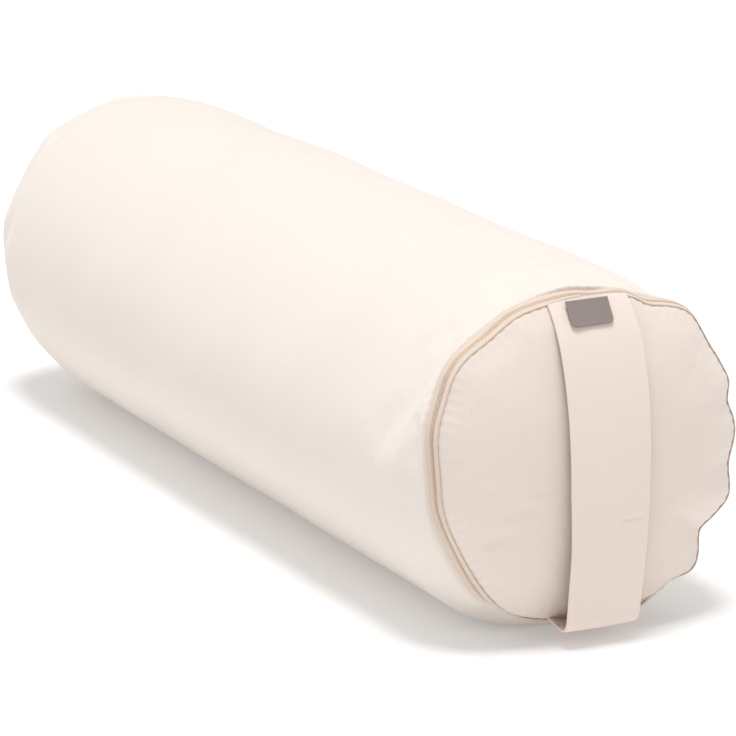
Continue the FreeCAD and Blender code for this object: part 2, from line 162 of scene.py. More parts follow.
def ripples(along, across, seed, count=10, shortest=0.05, longest=0.22):
    """A smooth, repeatable unevenness: a sum of long waves in two directions, about -1 to 1."""
    random = np.random.default_rng(seed)
    total = np.zeros(np.broadcast(along, across).shape)
    for _ in range(count):
        length = random.uniform(shortest, longest)
        heading = random.uniform(0, math.pi)
        start = random.uniform(0, 2 * math.pi)
        travel = along * math.cos(heading) + across * math.sin(heading)
        total = total + np.sin(2 * math.pi * travel / length + start)
    return total / math.sqrt(count)


# ---------------------------------------------------------------- meshes
ROUND_STEPS = 480
CLOSE_REACH = math.radians(2.2)     # the finer steps reach this far to each side of the seam
CLOSE_STEPS = 23


def round_angles():
    """Angles round a rim, closer together at the lengthwise seam."""
    plain = np.linspace(-math.pi, math.pi, ROUND_STEPS, endpoint=False)
    close = SEAM_ANGLE + np.linspace(-CLOSE_REACH, CLOSE_REACH, CLOSE_STEPS)
    plain = plain[np.abs(turn_gap(plain, SEAM_ANGLE)) > CLOSE_REACH + math.radians(0.2)]
    return np.sort(np.concatenate([plain, close]))


ANGLES = round_angles()


def link_object(name, data):
    item = bpy.data.objects.new(name, data)
    bpy.context.scene.collection.objects.link(item)
    return item


def quads(rows, columns, spans, first=0):
    """The faces between the rows of a grid; spans equals columns where the grid is closed."""
    faces = []
    for row in range(rows - 1):
        for column in range(spans):
            a = first + row * columns + column
            b = first + row * columns + (column + 1) % columns
            faces.append((a, b, b + columns, a + columns))
    return faces


def grid_object(name, points, cloth_map, wrap=True, centre=None):
    """A mesh of quads from an array (rows, columns, 3), with a cloth map in metres.

    A closed grid's cloth map has one column more than its points have. centre adds one vertex
    that closes the last row with triangles.
    """
    rows, columns = points.shape[:2]
    spans = columns if wrap else columns - 1
    vertices = [tuple(p) for p in points.reshape(-1, 3)]
    faces = quads(rows, columns, spans)
    maps = []
    for row in range(rows - 1):
        for column in range(spans):
            above = (cloth_map[row, column], cloth_map[row, column + 1])
            below = (cloth_map[row + 1, column + 1], cloth_map[row + 1, column])
            maps.append(above + below)
    if centre is not None:
        vertices.append(tuple(centre))
        last = (rows - 1) * columns
        for column in range(spans):
            faces.append((last + column, last + (column + 1) % columns, len(vertices) - 1))
            maps.append((cloth_map[-1, column], cloth_map[-1, column + 1], np.zeros(2)))
    mesh = bpy.data.meshes.new(name)
    mesh.from_pydata(vertices, [], faces)
    layer = mesh.uv_layers.new(name="cloth")
    layer.data.foreach_set("uv", np.array([uv for face in maps for uv in face], float).reshape(-1))
    mesh.polygons.foreach_set("use_smooth", [True] * len(mesh.polygons))
    mesh.update()
    return link_object(name, mesh)


def apply_modifiers(item):
    bpy.context.view_layer.objects.active = item
    for modifier in list(item.modifiers):
        with bpy.context.temp_override(object=item, active_object=item, selected_objects=[item]):
            bpy.ops.object.modifier_apply(modifier=modifier.name)


def thicken(item, thickness, offset=-1.0):
    solid = item.modifiers.new("thickness", "SOLIDIFY")
    solid.thickness = thickness
    solid.offset = offset
    solid.use_even_offset = True
    apply_modifiers(item)


# ---------------------------------------------------------------- cloth that settles
def held_rows(count, grip):
    """How firmly each row is held: fully at the sewn rows, not at all away from them."""
    rows = np.zeros(count)
    rows[:len(grip)] = grip
    return rows


CLOTH_SETTINGS = {
    "quality": 6,
    "mass": 0.3,
    "tension_stiffness": 18,
    "compression_stiffness": 18,
    "shear_stiffness": 8,
    "bending_stiffness": 0.2,
    "use_pressure": True,
    "uniform_pressure_force": 3.0,
    "vertex_group_mass": "held",
}
SETTLING_FRAMES = 18
LARGEST_MOVE = 4 * MM
COARSE_STEPS = 190              # points round the coarse copy


def cloth_moves(points, held, slack):
    """Lets a coarse copy of a cloth surface settle under the push of its filling.

    points is (rows, columns, 3), closed round its columns. slack is the share by which the cloth
    is cut too large. Returns how far each point moves.
    """
    rows, columns = points.shape[:2]
    mesh = bpy.data.meshes.new("settling")
    mesh.from_pydata([tuple(p) for p in points.reshape(-1, 3)], [], quads(rows, columns, columns))
    item = link_object("settling", mesh)
    group = item.vertex_groups.new(name="held")
    for row, grip in enumerate(held):
        group.add(list(range(row * columns, (row + 1) * columns)), float(grip), "REPLACE")
    cloth = item.modifiers.new("cloth", "CLOTH")
    for key, setting in CLOTH_SETTINGS.items():
        setattr(cloth.settings, key, setting)
    cloth.settings.shrink_min = -slack
    cloth.settings.shrink_max = -slack
    cloth.settings.effector_weights.gravity = 0
    cloth.collision_settings.use_collision = False
    cloth.point_cache.frame_start = 1
    cloth.point_cache.frame_end = SETTLING_FRAMES
    scene = bpy.context.scene
    for number in range(1, SETTLING_FRAMES + 1):
        scene.frame_set(number)
    at_the_end = item.evaluated_get(bpy.context.evaluated_depsgraph_get())
    end = np.empty(len(mesh.vertices) * 3)
    at_the_end.data.vertices.foreach_get("co", end)
    scene.frame_set(1)
    bpy.data.objects.remove(item)
    moves = end.reshape(points.shape) - points
    length = np.linalg.norm(moves, axis=-1, keepdims=True)
    return moves * np.minimum(1.0, LARGEST_MOVE / np.maximum(length, 1e-9))


def soften(field, times):
    """Evens a field out a little, round its columns and along its rows."""
    for _ in range(times):
        field = (np.roll(field, 1, axis=1) + 2 * field + np.roll(field, -1, axis=1)) / 4
        inner = (field[:-2] + 2 * field[1:-1] + field[2:]) / 4
        field = np.concatenate([field[:1], inner, field[-1:]])
    return field


def settled(surface, coarse_rows, fine_rows, fine_points, held, slack):
    """The fine surface, moved as its coarse copy moved in the simulation."""
    coarse_angles = np.linspace(-math.pi, math.pi, COARSE_STEPS, endpoint=False)
    moves = cloth_moves(surface(coarse_rows, coarse_angles), held, slack)
    across = np.empty((len(coarse_rows), len(ANGLES), 3))
    for row in range(len(coarse_rows)):
        for axis in range(3):
            across[row, :, axis] = np.interp(ANGLES, coarse_angles, moves[row, :, axis], period=2 * math.pi)
    fine = np.empty(fine_points.shape)
    order = np.argsort(coarse_rows)
    for column in range(len(ANGLES)):
        for axis in range(3):
            fine[:, column, axis] = np.interp(fine_rows, coarse_rows[order], across[order, column, axis])
    return fine_points + soften(fine, 3)


# ---------------------------------------------------------------- materials
class Nodes:
    """A short way to write a node material."""

    def __init__(self, name):
        self.material = bpy.data.materials.new(name)
        self.material.use_nodes = True
        self.tree = self.material.node_tree
        self.shader = self.tree.nodes["Principled BSDF"]

    def add(self, kind, **settings):
        node = self.tree.nodes.new("ShaderNode" + kind)
        for key, setting in settings.items():
            if key in node.inputs:
                node.inputs[key].default_value = setting
            else:
                setattr(node, key, setting)
        return node

    def link(self, source, target):
        self.tree.links.new(source, target)

    def maths(self, operation, first, second=None):
        node = self.add("Math", operation=operation)
        for socket, source in zip(node.inputs, (first, second)):
            if source is None:
                continue
            if isinstance(source, (int, float)):
                socket.default_value = source
            else:
                self.link(source, socket)
        return node.outputs[0]

    def mix(self, factor, first, second):
        node = self.add("Mix", data_type="RGBA")
        for socket, source in zip((node.inputs[0], node.inputs[6], node.inputs[7]), (factor, first, second)):
            if isinstance(source, (int, float)):
                socket.default_value = source
            elif isinstance(source, tuple):
                socket.default_value = (*source, 1.0)
            else:
                self.link(source, socket)
        return node.outputs[2]


YARN_ALONG = 60.0               # unevenness of the yarn, in bumps per metre along it
YARN_ACROSS = 1300.0            # and across it
MOTTLE_SCALE = 9.0
SHADED_SIDE_FROM = 0.06               # a strap's inner side has its cloth map beyond this, in metres, and is painted darker there as shade


def woven_cloth(name, colour, shade, thread=0.62 * MM, bump=0.22, sheen=0.25, roughness=0.92,
                shaded_side_colour=None):
    """Plain-woven cotton: crossing threads, uneven yarn, a soft mottle and a little sheen.

    The last argument is a darker colour painted as shade on the side whose cloth map lies beyond the shade
    threshold defined above the function.
    """
    nodes = Nodes(name)
    place = nodes.add("UVMap", uv_map="cloth")
    split = nodes.add("SeparateXYZ")
    nodes.link(place.outputs["UV"], split.inputs[0])
    turn = 2 * math.pi / thread
    warp = nodes.maths("SINE", nodes.maths("MULTIPLY", split.outputs[0], turn))
    weft = nodes.maths("SINE", nodes.maths("MULTIPLY", split.outputs[1], turn))
    weave = nodes.maths("MULTIPLY", warp, weft)

    def yarn(scale_x, scale_y):
        stretch = nodes.add("Mapping")
        stretch.inputs["Scale"].default_value = (scale_x, scale_y, 1.0)
        nodes.link(place.outputs["UV"], stretch.inputs["Vector"])
        noise = nodes.add("TexNoise", Scale=1.0, Detail=3.0, Roughness=0.6)
        nodes.link(stretch.outputs["Vector"], noise.inputs["Vector"])
        return noise.outputs["Fac"]

    slubs = nodes.maths("ADD", yarn(YARN_ALONG, YARN_ACROSS), yarn(YARN_ACROSS, YARN_ALONG))
    mottle = nodes.add("TexNoise", Scale=MOTTLE_SCALE, Detail=4.0, Roughness=0.55)
    where = nodes.add("TexCoord")
    nodes.link(where.outputs["Object"], mottle.inputs["Vector"])

    height = nodes.maths("ADD", nodes.maths("MULTIPLY", weave, 0.3), nodes.maths("MULTIPLY", slubs, 1.1))
    relief = nodes.add("Bump", Strength=bump, Distance=0.12 * MM)
    nodes.link(height, relief.inputs["Height"])
    nodes.link(relief.outputs["Normal"], nodes.shader.inputs["Normal"])

    fleck = nodes.maths("MULTIPLY", nodes.maths("SUBTRACT", slubs, 1.0), 0.9)
    patch = nodes.maths("ADD", mottle.outputs["Fac"], fleck)
    limit = nodes.add("MapRange")
    limit.inputs["From Min"].default_value = 0.25
    limit.inputs["From Max"].default_value = 0.85
    nodes.link(patch, limit.inputs["Value"])
    tone = nodes.mix(limit.outputs["Result"], colour, shade)
    # painted shade: the strap's inner side, facing the end panel and up inside the folded foot, takes a
    # darker colour
    if shaded_side_colour:
        beyond = nodes.maths("GREATER_THAN", split.outputs[0], SHADED_SIDE_FROM)
        tone = nodes.mix(beyond, tone, shaded_side_colour)
    nodes.link(tone, nodes.shader.inputs["Base Color"])
    nodes.shader.inputs["Roughness"].default_value = roughness
    nodes.shader.inputs["Sheen Weight"].default_value = sheen
    nodes.shader.inputs["Sheen Roughness"].default_value = 0.5
    nodes.shader.inputs["Specular IOR Level"].default_value = 0.2
    return nodes.material


def zip_metal(name, colour):
    nodes = Nodes(name)
    where = nodes.add("TexCoord")
    wear = nodes.add("TexNoise", Scale=900.0, Detail=4.0, Roughness=0.6)
    nodes.link(where.outputs["Object"], wear.inputs["Vector"])
    darker = tuple(c * 0.8 for c in colour)
    nodes.link(nodes.mix(wear.outputs["Fac"], colour, darker), nodes.shader.inputs["Base Color"])
    relief = nodes.add("Bump", Strength=0.15, Distance=0.05 * MM)
    nodes.link(wear.outputs["Fac"], relief.inputs["Height"])
    nodes.link(relief.outputs["Normal"], nodes.shader.inputs["Normal"])
    nodes.shader.inputs["Metallic"].default_value = 0.6
    nodes.shader.inputs["Roughness"].default_value = 0.38
    return nodes.material


COVER_CLOTH = woven_cloth("cover_cotton", (0.808, 0.738, 0.676), (0.779, 0.706, 0.642))
PANEL_CLOTH = woven_cloth("end_cotton", (0.790, 0.692, 0.627), (0.755, 0.656, 0.591), bump=0.13)
# the strap's inner side is painted a darker brown as shade, for the dim inside of its folded foot and its
# edge by the panel
STRAP_CLOTH = woven_cloth("strap_cotton", (0.815, 0.704, 0.640), (0.785, 0.672, 0.607), bump=0.13,
                          shaded_side_colour=(0.66, 0.50, 0.42))
LINER_CLOTH = woven_cloth("liner_cotton", (0.80, 0.745, 0.66), (0.765, 0.705, 0.615), thread=0.5 * MM)
TAPE_CLOTH = woven_cloth("zip_tape", (0.74, 0.61, 0.51), (0.67, 0.545, 0.45), thread=0.8 * MM, bump=0.4)
TOOTH_PLASTIC = woven_cloth("zip_coil", (0.72, 0.59, 0.49), (0.65, 0.52, 0.43), thread=0.5 * MM, sheen=0.05,
                            roughness=0.55, bump=0.12)
LABEL_CLOTH = woven_cloth("label_weave", (0.29, 0.240, 0.222), (0.245, 0.20, 0.185), thread=0.45 * MM,
                          bump=0.2)
CARE_CLOTH = woven_cloth("care_satin", (0.85, 0.83, 0.80), (0.80, 0.78, 0.75), thread=0.3 * MM, bump=0.15)
METAL = zip_metal("zip_metal", (0.62, 0.50, 0.40))


def dress(item, material):
    item.data.materials.clear()
    item.data.materials.append(material)


# ---------------------------------------------------------------- cover tube
def along_tube():
    """Places along the tube, close together at both seams."""
    near = np.array([0.0, 0.5, 1.1, 1.8, 2.6, 3.6, 4.8, 6.2, 8.0]) * MM
    shoulder = np.arange(10.0, 60.0, 2.0) * MM
    middle = np.linspace(REAR + 0.062, BAND - 0.062, 90)
    at_rear = np.concatenate([REAR + near, REAR + shoulder])
    at_front = np.concatenate([BAND - shoulder, BAND - near])
    return np.unique(np.round(np.concatenate([at_rear, middle, at_front]), 6))


TURN_IN = 2.4 * MM              # how far a sewn edge turns in under its seam


def seam_tuck(distance):
    """How far cloth dips where it is turned in at a seam, distance away from the stitches."""
    return 1.3 * MM * np.exp(-(distance / (1.3 * MM)) ** 2)


def stitch_puckers(along_seam, distance, seed, pitch=6.5 * MM, height=0.28 * MM, reach=7 * MM):
    """Small puckers square to a seam."""
    drift = 0.35 * ripples(along_seam, 0 * along_seam, seed, shortest=0.02, longest=0.09)
    lift = np.sin(2 * math.pi * along_seam / pitch + 2.5 * drift)
    return height * (1 + drift) * lift * np.exp(-distance / reach)


def tube_form(x, phi):
    """The tube's plain radius and axis height at each place, and how far it is drawn in, 0 to 1."""
    front_length = SHOULDER - (FRONT - BAND)
    front_in = np.clip(1 - (BAND - x) / front_length, 0, 1) ** 2.1
    rear_in = np.clip(1 - (x - REAR) / REAR_SHOULDER, 0, 1) ** 2.3
    drawn = front_in + rear_in
    edge = np.where(x > 0, tube_edge(phi), rear_edge(phi))
    radius = TUBE_RADIUS + (edge - TUBE_RADIUS) * drawn
    upper = (1 - np.cos(phi)) / 2
    radius = radius - REAR_SLIM * smooth((-x - 0.03) / 0.25) * upper * (1 - rear_in)
    height = TUBE_HEIGHT + (RIM_HEIGHT - TUBE_HEIGHT) * front_in + (REAR_RIM_HEIGHT - TUBE_HEIGHT) * rear_in
    return radius, height, drawn


def tube_surface(places, angles):
    """Points of the tube's outer cloth, (places, angles, 3)."""
    x = places[:, None]
    phi = angles[None, :]
    radius, height, drawn = tube_form(x, phi)
    arc = phi * TUBE_RADIUS
    upper = (1 - np.cos(phi)) / 2
    radius = radius + 0.55 * MM * ripples(x, arc, 3) * (1 - drawn) * smooth(upper / 0.3)
    radius = radius + stitch_puckers(arc + 0 * x, np.minimum(BAND - x, x - REAR), 5)
    radius = radius - seam_tuck(BAND - x) - seam_tuck(x - REAR)
    from_seam = np.abs(turn_gap(phi, SEAM_ANGLE)) * TUBE_RADIUS + 0 * x
    radius = radius - 0.8 * MM * np.exp(-(from_seam / (1.1 * MM)) ** 2)
    radius = radius + stitch_puckers(x + 0 * phi, from_seam, 11, pitch=8 * MM, height=0.3 * MM)
    y, z = around(phi, radius, height)
    return np.stack([x + 0 * y, y, lay_down(z)], axis=-1)


def cloth_map_of(places, angles):
    """The tube's cloth map: metres along it and metres round it."""
    arc = np.append(angles, angles[0] + 2 * math.pi) * TUBE_RADIUS
    return np.stack(np.broadcast_arrays(places[:, None], arc[None, :]), axis=-1)


def drawn_in(points, height, distance):
    """The points, moved towards the axis at the given height by about distance."""
    off_axis = (points - np.array([0.0, 0.0, height])) * np.array([0.0, 1.0, 1.0])
    return points - off_axis * (distance / RIM_RADIUS)


def make_turned_edges(places, points):
    """The seams' turned-in edges, a second layer just inside the tube's cloth."""
    inside = drawn_in(points, RIM_HEIGHT, 1.8 * MM)
    cloth = cloth_map_of(places, ANGLES)
    deep = 10 * MM                  # width of a turned-in edge
    clear = 0.9 * MM                # how far it stays short of its seam
    at_rear = (places > REAR + clear) & (places < REAR + deep)
    at_front = (places < BAND - clear) & (places > BAND - deep)
    straight = np.abs(places) < 0.28
    beside = np.abs(turn_gap(ANGLES, SEAM_ANGLE)) * TUBE_RADIUS < deep / 2
    pieces = (
        ("rear_turned_edge", inside[at_rear], cloth[at_rear], True, "rear_seam_allowance"),
        ("front_turned_edge", inside[at_front], cloth[at_front], True, "front_seam_allowance"),
        ("tube_turned_edge", inside[straight][:, beside], cloth[straight][:, :-1][:, beside], False,
         "tube_seam_allowance"),
    )
    for name, layer, its_map, wrap, node in pieces:
        edge = grid_object(name, layer, its_map, wrap=wrap)
        thicken(edge, 0.8 * MM)
        dress(edge, COVER_CLOTH)
        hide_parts(node)
        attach(edge, "cover")


COARSE_END = 0.07               # the coarse copy has closer rows this near to both seams
COARSE_PLACES = np.concatenate([
    np.linspace(REAR, REAR + COARSE_END, 20),
    np.linspace(REAR + COARSE_END + 10 * MM, BAND - COARSE_END, 56),
    np.linspace(BAND - COARSE_END + 4 * MM, BAND, 20),
])
TUBE_SLACK = 0.012
GRIP_REACH = 4 * MM             # the seams hold the tube's cloth over this length
STILL_BELOW = 0.07              # settling fades out below this height, towards the floor
FLOOR_GAP = 0.3 * MM


def make_cover_tube():
    places = along_tube()
    points = tube_surface(places, ANGLES)
    from_seam = np.minimum(COARSE_PLACES - REAR, BAND - COARSE_PLACES)
    grip = 1 - smooth(from_seam / GRIP_REACH)
    moves = settled(tube_surface, COARSE_PLACES, places, points, grip, TUBE_SLACK) - points
    points = points + moves * smooth(points[..., 2:] / STILL_BELOW)
    points[..., 2] = np.maximum(points[..., 2], FLOOR_GAP)
    make_turned_edges(places, points)
    turned_in = drawn_in(points[[0, -1]], RIM_HEIGHT, TURN_IN)
    turned_in[0, :, 0] += 1.5 * MM
    turned_in[1, :, 0] -= 1.0 * MM
    points = np.concatenate([turned_in[:1], points, turned_in[1:]])
    places = np.concatenate([[REAR - 1 * MM], places, [BAND + 1 * MM]])
    tube = grid_object("cover_tube_cloth", points, cloth_map_of(places, ANGLES))
    thicken(tube, 1.1 * MM)
    dress(tube, COVER_CLOTH)
    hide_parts("cover_tube")
    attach(tube, "cover")


# ---------------------------------------------------------------- end panels
DISC_SHARES = np.concatenate([
    1 - np.array([0.0, 0.6, 1.3, 2.2, 3.3, 4.8, 6.6, 9.0]) * MM / RIM_RADIUS,
    np.linspace(0.89, 0.02, 56),
])


PANEL_SLACK = 0.008
REAR_SLACK = 0.012
REAR_SAG = 9 * MM


def disc_surface(share, angles, edge, plane, tip, sign, seed, middle, sag):
    """A domed disc of cloth inside a wavy rim; share runs from 1 at the seam to 0 in the middle.

    plane and tip are its seam's and its middle's X, sign the way it domes and middle its middle's
    height. sag is how far its lower half bulges further than its upper.
    """
    phi = angles[None, :]
    part = share[:, None]
    middle_pull = smooth((part - 0.35) / 0.65)
    rim = RIM_RADIUS + (edge(phi) - RIM_RADIUS) * middle_pull
    radius = part * rim
    crown = abs(tip - plane)
    inward = (1 - part) * RIM_RADIUS
    dome = crown * (1 - part ** 3.0) + sag * (1 - part ** 2) * part * np.cos(phi)
    arc = phi * RIM_RADIUS
    dome = dome + stitch_puckers(arc + 0 * part, inward, seed, height=0.3 * MM)
    dome = dome - seam_tuck(inward)
    y, z = around(phi, radius, middle)
    dome = dome + 0.6 * MM * ripples(y, z, seed + 1, shortest=0.04, longest=0.12) * smooth(inward / 0.03)
    x = plane + sign * dome
    return np.stack([x, y, z], axis=-1)


def disc_object(name, edge, plane, tip, sign, seed, slack, turn, middle, sag):
    """A settled disc with its sewn edge turned in by turn along X."""
    def surface(share, angles):
        return disc_surface(share, angles, edge, plane, tip, sign, seed, middle, sag)

    coarse = np.linspace(1.0, 0.05, 34)
    grip = held_rows(len(coarse), (1.0, 0.5))
    points = settled(surface, coarse, DISC_SHARES, surface(DISC_SHARES, ANGLES), grip, slack)
    turned_in = drawn_in(points[:1], middle, TURN_IN)
    turned_in[..., 0] -= sign * turn
    points = np.concatenate([turned_in, points])
    centre = Vector((float(points[-1, :, 0].mean()), 0.0, middle))
    flat = np.stack([points[..., 1], points[..., 2] - middle], axis=-1)
    flat = np.concatenate([flat, flat[:, :1]], axis=1)
    return grid_object(name, points, flat, centre=centre)


def make_end_panel():
    panel = disc_object("end_panel_cloth", panel_edge, plane=FRONT, tip=FRONT + CROWN, sign=1, seed=21,
                        slack=PANEL_SLACK, turn=0.5 * MM, middle=RIM_HEIGHT, sag=0.0)
    thicken(panel, 1.0 * MM)
    dress(panel, PANEL_CLOTH)
    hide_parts("end_panel", "end_panel_sewn_edge")
    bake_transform(panel)


def make_rear_panel():
    panel = disc_object("rear_panel_cloth", rear_edge, plane=REAR, tip=REAR_TIP + 3 * MM, sign=-1, seed=31,
                        slack=REAR_SLACK, turn=2 * MM, middle=REAR_RIM_HEIGHT, sag=REAR_SAG)
    thicken(panel, 1.0 * MM, offset=1.0)
    dress(panel, COVER_CLOTH)
    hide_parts("rear_end_panel")
    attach(panel, "cover")


# ---------------------------------------------------------------- zip band
def band_strip(name, start, end, radius_at, lift):
    """One of the zip's two tapes, from start to end along X."""
    across = np.linspace(0, 1, 9)[:, None]
    phi = ANGLES[None, :]
    x = start + (end - start) * across + 0 * phi
    radius = radius_at(phi, across) + lift * np.sin(math.pi * across) - 0.9 * MM
    y, z = around(phi, radius, RIM_HEIGHT)
    arc = np.append(ANGLES, ANGLES[0] + 2 * math.pi) * RIM_RADIUS
    cloth = np.stack(np.broadcast_arrays(arc[None, :], start + (end - start) * across), axis=-1)
    tape = grid_object(name, np.stack([x, y, z], axis=-1), cloth)
    thicken(tape, 0.6 * MM, offset=1.0)
    return tape


TOOTH_PITCH = 1.5 * MM


def teeth(name, side, radius_at):
    """A row of slanted coil turns beside the band's middle line; side is -1 on the tube's side."""
    count = int(2 * math.pi * RIM_RADIUS / TOOTH_PITCH)
    vertices = []
    faces = []
    rings = 5
    points_round = 6
    for number in range(count):
        phi = 2 * math.pi * number / count - math.pi
        radius = float(radius_at(np.array([phi]))[0])
        for ring in range(rings):
            share = ring / (rings - 1)
            out = (0.15 + 2.3 * share) * MM * side
            slant = 0.9 * MM * share / radius
            swell = math.sqrt(max(0.0, 1 - (2 * share - 1) ** 4))
            for step in range(points_round):
                turn = 2 * math.pi * step / points_round
                wide = 0.52 * MM * math.cos(turn) * (0.25 + 0.75 * swell)
                high = 0.55 * MM * math.sin(turn) * (0.25 + 0.75 * swell)
                angle = phi + slant + wide / radius
                y, z = around(angle, radius + high - 0.15 * MM, RIM_HEIGHT)
                vertices.append((BAND_MIDDLE + out, float(y), float(z)))
        first = number * rings * points_round
        last = first + (rings - 1) * points_round
        faces += quads(rings, points_round, points_round, first)
        faces.append(tuple(first + step for step in reversed(range(points_round))))
        faces.append(tuple(last + step for step in range(points_round)))
    mesh = bpy.data.meshes.new(name)
    mesh.from_pydata(vertices, [], faces)
    mesh.uv_layers.new(name="cloth")
    mesh.polygons.foreach_set("use_smooth", [True] * len(mesh.polygons))
    return link_object(name, mesh)


def make_zip():
    gap = 0.25 * MM                 # half the parting between the two tapes
    lap = 0.6 * MM                  # how far a tape goes on under its seam
    arch = 0.25 * MM

    def tube_side(phi, across):
        return tube_edge(phi) + (front_rim(phi) - tube_edge(phi)) * across

    def panel_side(phi, across):
        near_seam = across ** (1 + 5 * (1 - slider_calm(phi)))
        return front_rim(phi) + (panel_edge(phi) - front_rim(phi)) * near_seam

    tube_tape = band_strip("zip_tape_on_tube", BAND - lap, BAND_MIDDLE - gap, tube_side, arch)
    dress(tube_tape, TAPE_CLOTH)
    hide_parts("zip_tape_tube_side", "hinge_band")
    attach(tube_tape, "cover")
    panel_tape = band_strip("zip_tape_on_panel", BAND_MIDDLE + gap, FRONT + lap, panel_side, arch)
    dress(panel_tape, TAPE_CLOTH)
    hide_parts("zip_tape_panel_side")
    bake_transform(panel_tape)

    tube_teeth = teeth("zip_coil_on_tube", -1, front_rim)
    dress(tube_teeth, TOOTH_PLASTIC)
    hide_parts("zip_coil_tube_side")
    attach(tube_teeth, "cover")
    panel_teeth = teeth("zip_coil_on_panel", 1, front_rim)
    dress(panel_teeth, TOOTH_PLASTIC)
    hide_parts("zip_coil_panel_side")
    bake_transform(panel_teeth)


# ---------------------------------------------------------------- strap and label
# The strap's middle layer in side view: mm past the end panel's seam, and mm above the floor
STRAP_LINE = (
    (0.4, 205.6), (3.6, 203.0), (10.0, 194.5), (18.0, 179.5), (25.0, 158.0), (29.5, 132.0),
    (30.9, 105.0), (30.0, 78.0), (27.5, 52.0), (25.2, 32.0), (24.0, 21.0), (22.8, 14.0),
    (19.0, 10.4), (13.0, 9.6), (6.5, 9.8), (0.4, 10.2),
)
# Its edges in front view: mm above the floor, and mm towards +Y
STRAP_LEFT = ((209.5, -28.5), (186, -28.7), (144, -28.2), (96, -27.8), (60, -25.8), (16, -25.6))
STRAP_RIGHT = ((209.5, 23.5), (186, 25.4), (144, 25.8), (96, 24.4), (56, 24.0), (16, 23.2))
STRAP_THICK = 2.0 * MM
STRAP_STEPS = 190
SHADED_SIDE_SHIFT = 0.1                   # the inner side's cloth map lies this far aside, in metres, where the strap's cloth paints shade
CREASE_HEIGHT = 78 * MM             # the short crease across the strap's right half
CREASE_WIDTH = 1.2 * MM
CREASE_DEPTH = 0.7 * MM
CREASE_MIDDLE = 12.5 * MM
CREASE_HALF = 8.5 * MM


def smooth_line(points, steps):
    """A smooth curve near the given corners: Chaikin corner cutting, then even spacing."""
    line = np.array(points, float)
    for _ in range(4):
        cut = np.empty((2 * len(line) - 2, line.shape[1]))
        cut[0::2] = 0.75 * line[:-1] + 0.25 * line[1:]
        cut[1::2] = 0.25 * line[:-1] + 0.75 * line[1:]
        line = np.vstack([line[:1], cut, line[-1:]])
    run = np.concatenate([[0], np.cumsum(np.linalg.norm(np.diff(line, axis=0), axis=1))])
    even = np.linspace(0, run[-1], steps)
    return np.stack([np.interp(even, run, line[:, k]) for k in range(line.shape[1])], axis=-1), even


def strap_section():
    """The strap's cross-section: (share of its half width, step aside, step out), closed."""
    half = STRAP_THICK / 2
    flat = np.linspace(-1, 1, 37)
    rounds = np.radians(np.linspace(-75, 75, 6))
    section = [(share, 0.0, half) for share in flat]
    section += [(1.0, half * math.cos(a), half * math.sin(a)) for a in rounds[::-1]]
    section += [(share, 0.0, -half) for share in flat[::-1]]
    section += [(-1.0, -half * math.cos(a), half * math.sin(a)) for a in rounds]
    return section


def make_strap():
    line, run = smooth_line(np.array(STRAP_LINE) * MM, STRAP_STEPS)
    to_end = run[-1] - run
    tangent = np.gradient(line, axis=0)
    tangent /= np.linalg.norm(tangent, axis=1)[:, None]
    out = np.stack([-tangent[:, 1], tangent[:, 0]], axis=-1)     # away from the end panel
    heights = line[:, 1] / MM
    left = np.interp(heights, *zip(*reversed(STRAP_LEFT))) * MM
    right = np.interp(heights, *zip(*reversed(STRAP_RIGHT))) * MM
    middle = (left + right) / 2
    width = (right - left) / 2 - STRAP_THICK / 2
    near_crease = np.exp(-((line[:, 1] - CREASE_HEIGHT) / CREASE_WIDTH) ** 2)
    follow = smooth((0.022 - to_end) / 0.022) - smooth((0.03 - run) / 0.03) * 0.6

    section = strap_section()
    points = np.empty((len(line), len(section), 3))
    cloth = np.empty((len(line), len(section) + 1, 2))
    for index, (share, aside, off) in enumerate(section):
        y = middle + share * width + aside
        bow = 0.8 * MM * (1 - share ** 2) * smooth(np.minimum(run, to_end) / 0.03)
        wave = 0.5 * MM * ripples(run, y, 41, shortest=0.05, longest=0.16)
        crease = CREASE_DEPTH * near_crease * np.exp(-((y - CREASE_MIDDLE) / CREASE_HALF) ** 4)
        lift = off + bow + wave - crease
        rim_rise = RIM_RADIUS - np.sqrt(RIM_RADIUS ** 2 - y ** 2)
        points[:, index, 0] = FRONT + line[:, 0] + out[:, 0] * lift
        points[:, index, 1] = y
        points[:, index, 2] = line[:, 1] + out[:, 1] * lift + rim_rise * follow
        # the inner side's map is moved aside, so that it takes the painted shade
        cloth[:, index, 0] = y + (SHADED_SIDE_SHIFT if off < 0 else 0.0)
        cloth[:, index, 1] = run
    cloth[:, -1] = cloth[:, 0]
    strap = grid_object("strap_cloth", points, cloth)
    close_ends(strap, len(section))
    dress(strap, STRAP_CLOTH)
    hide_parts("handle_strap")
    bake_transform(strap)


def close_ends(item, columns):
    """Caps both open ends of a swept strip."""
    mesh = item.data
    count = len(mesh.vertices)
    caps = [tuple(range(columns)), tuple(reversed(range(count - columns, count)))]
    vertices = [tuple(v.co) for v in mesh.vertices]
    strip = [tuple(p.vertices) for p in mesh.polygons]
    maps = np.empty(len(mesh.loops) * 2)
    mesh.uv_layers["cloth"].data.foreach_get("uv", maps)
    capped = bpy.data.meshes.new(mesh.name)
    capped.from_pydata(vertices, [], strip + caps)
    layer = capped.uv_layers.new(name="cloth")
    layer.data.foreach_set("uv", np.concatenate([maps, np.zeros(4 * columns)]))
    capped.polygons.foreach_set("use_smooth", [True] * len(capped.polygons))
    item.data = capped


TAG_CORNER = 3.4 * MM
TAG_ROWS = 41
TAG_COLUMNS = 71
TAG_BORDER_IN = 1.5 * MM            # the raised border runs this far inside the edge
TAG_BORDER_WIDTH = 0.45 * MM
TAG_BORDER_HEIGHT = 0.22 * MM


